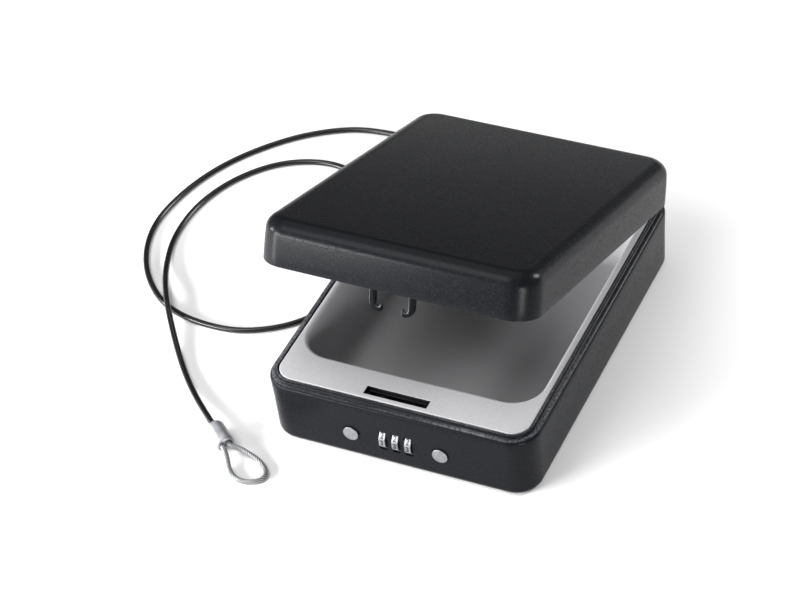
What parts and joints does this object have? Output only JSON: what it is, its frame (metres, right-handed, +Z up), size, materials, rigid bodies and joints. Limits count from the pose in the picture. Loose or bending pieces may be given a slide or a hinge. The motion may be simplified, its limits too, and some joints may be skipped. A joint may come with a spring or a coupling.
{
  "type": "portable car safe",
  "caption": "Portable car safe with a hinged lid, a moulded liner tray, a three-dial lock released by two front buttons, and a tether cable with a crimped eye.",
  "frame": {"origin": "centre of the flat underside of the base, halfway between the side walls and between the front and back walls", "axes": "+X to the right along the front, +Y from the front with the dials to the back with the hinge, +Z up"},
  "size_m": [0.3475, 0.3448, 0.1566],
  "materials": {
    "black_paint": "satin",
    "grey_plastic": "matte",
    "black_steel": "satin",
    "zinc_casting": "matte",
    "steel": "satin",
    "chrome_plate": "polished",
    "black_rubber": "matte",
    "black_vinyl": "gloss",
    "aluminium": "satin"
  },
  "bodies": {
    "base": {"base_shell": "black_paint", "liner_tray": "grey_plastic", "hinge_leaf_base": "black_steel", "hinge_pin": "steel", "lock_housing": "zinc_casting", "lock_cover": "black_steel", "housing_nut_1": "steel", "housing_nut_2": "steel", "housing_nut_3": "steel", "housing_nut_4": "steel", "gate_bar": "steel", "dial_shaft": "steel", "shaft_clip": "steel", "shaft_spacer": "steel", "shaft_spring": "steel", "detent_spring": "steel", "button_spring_left": "steel", "button_spring_right": "steel", "catch_spring_left": "steel", "catch_spring_right": "steel", "cable_grommet": "black_rubber", "cable_stop": "aluminium", "tether_cable": "black_vinyl", "cable_ferrule": "aluminium", "cable_eye": "steel"},
    "lid": {"lid_shell": "black_paint", "hook_plate": "black_steel", "hinge_leaf_lid": "black_steel"},
    "dial_1": {"dial_wheel_1": "chrome_plate", "cam_sleeve_1": "steel"},
    "dial_2": {"dial_wheel_2": "chrome_plate", "cam_sleeve_2": "steel"},
    "dial_3": {"dial_wheel_3": "chrome_plate", "cam_sleeve_3": "steel"},
    "button_left": {"push_button_left": "chrome_plate"},
    "button_right": {"push_button_right": "chrome_plate"},
    "catch_left": {"latch_catch_left": "zinc_casting"},
    "catch_right": {"latch_catch_right": "zinc_casting"}
  },
  "joints": [
    {"name": "lid_hinge", "type": "hinge", "parent": "base", "child": "lid", "pos_m": [0, 0.118, 0.048], "axis": [-1, 0, 0], "range_deg": [-20.8, 69.2]},
    {"name": "dial_1_turn", "type": "hinge", "parent": "base", "child": "dial_1", "pos_m": [-0.0092, -0.11525, 0.0202], "axis": [1, 0, 0], "continuous": true},
    {"name": "dial_2_turn", "type": "hinge", "parent": "base", "child": "dial_2", "pos_m": [-0.0006, -0.11525, 0.0202], "axis": [1, 0, 0], "continuous": true},
    {"name": "dial_3_turn", "type": "hinge", "parent": "base", "child": "dial_3", "pos_m": [0.008, -0.11525, 0.0202], "axis": [1, 0, 0], "continuous": true},
    {"name": "button_left_press", "type": "slide", "parent": "base", "child": "button_left", "axis": [0, 1, 0], "range_m": [0, 0.0032], "stiffness_N_per_m": 900, "springref_m": -0.003, "deforming": ["button_spring_left"]},
    {"name": "button_right_press", "type": "slide", "parent": "base", "child": "button_right", "axis": [0, 1, 0], "range_m": [0, 0.0032], "stiffness_N_per_m": 900, "springref_m": -0.003, "deforming": ["button_spring_right"]},
    {"name": "catch_left_slide", "type": "slide", "parent": "base", "child": "catch_left", "axis": [1, 0, 0], "range_m": [0, 0.0044], "stiffness_N_per_m": 400, "springref_m": -0.003, "deforming": ["catch_spring_left"]},
    {"name": "catch_right_slide", "type": "slide", "parent": "base", "child": "catch_right", "axis": [-1, 0, 0], "range_m": [0, 0.0044], "stiffness_N_per_m": 400, "springref_m": -0.003, "deforming": ["catch_spring_right"]}
  ],
  "couplings": [
    {"joint": "catch_left_slide", "follows": "button_left_press", "ratio": 1.375},
    {"joint": "catch_right_slide", "follows": "button_right_press", "ratio": 1.375}
  ]
}
